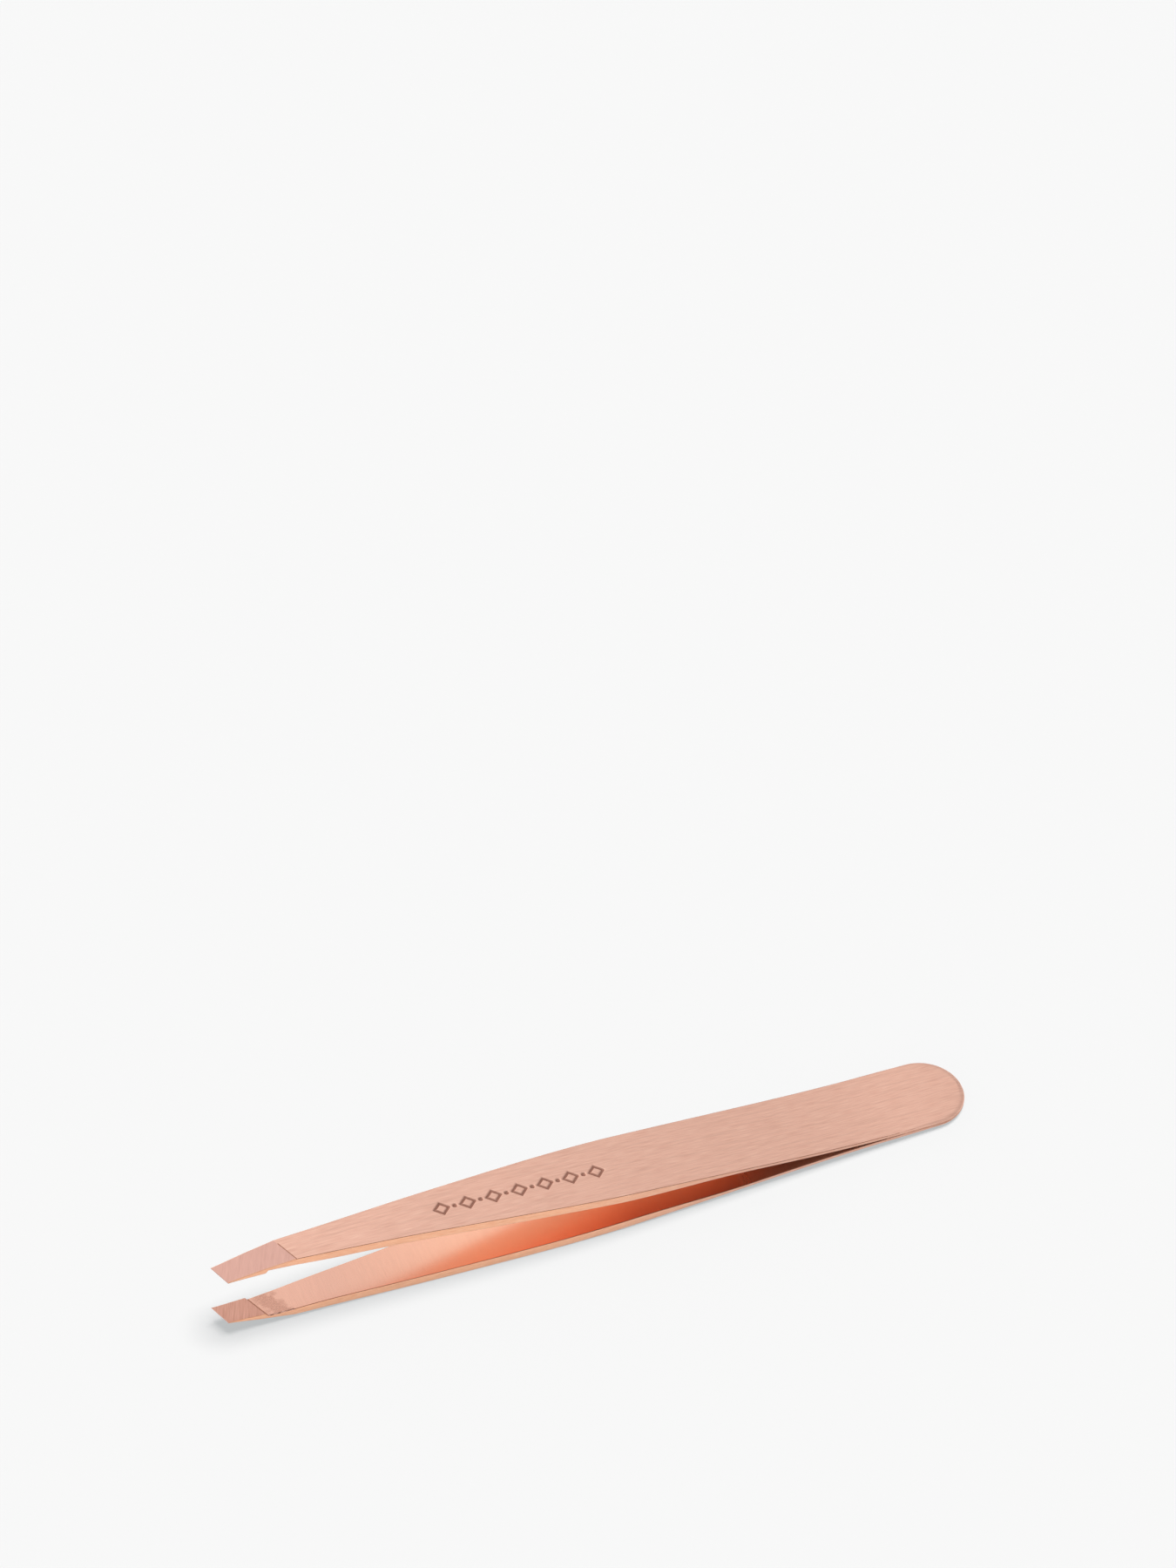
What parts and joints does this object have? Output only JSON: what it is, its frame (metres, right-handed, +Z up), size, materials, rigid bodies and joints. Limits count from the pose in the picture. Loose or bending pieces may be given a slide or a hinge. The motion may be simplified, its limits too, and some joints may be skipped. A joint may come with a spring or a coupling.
{
  "type": "slant tweezers",
  "caption": "Slant-tip steel tweezers in rose gold: brushed mirrored arms welded at a round heel, thin spring leaves, bevelled tips with raised gripping pads.",
  "frame": {"origin": "on the surface the tweezers lie on, under the middle of their bounding box", "axes": "+X along the length towards the round heel, +Y across the arms towards the longer side of the slanted tips, +Z up from the surface"},
  "size_m": [0.096, 0.01, 0.0104],
  "materials": {
    "rose_gold_steel": "stainless steel with a rose gold coating, outer faces brushed lengthwise, edges polished, tips ground across",
    "weld_steel": "bare fused stainless steel between the heel leaves, not seen from outside"
  },
  "bodies": {
    "heel": {"upper_heel": "rose_gold_steel", "lower_heel": "rose_gold_steel", "weld_nugget_rear": "weld_steel", "weld_nugget_front": "weld_steel", "upper_spring": "rose_gold_steel", "lower_spring": "rose_gold_steel"},
    "upper_arm": {"upper_blade": "rose_gold_steel"},
    "lower_arm": {"lower_blade": "rose_gold_steel"}
  },
  "joints": [
    {"name": "upper_arm_flex", "type": "hinge", "parent": "heel", "child": "upper_arm", "pos_m": [0.02609, 0, 0.00249], "axis": [0, -1, 0], "range_deg": [0, 2.69], "stiffness_Nm_per_rad": 0.8, "deforming": ["upper_spring"]},
    {"name": "lower_arm_flex", "type": "hinge", "parent": "heel", "child": "lower_arm", "pos_m": [0.026, 0, 0.00097], "axis": [0, 1, 0], "range_deg": [0, 2.69], "stiffness_Nm_per_rad": 0.8, "deforming": ["lower_spring"]}
  ],
  "couplings": [
    {"joint": "lower_arm_flex", "follows": "upper_arm_flex", "ratio": 1}
  ]
}
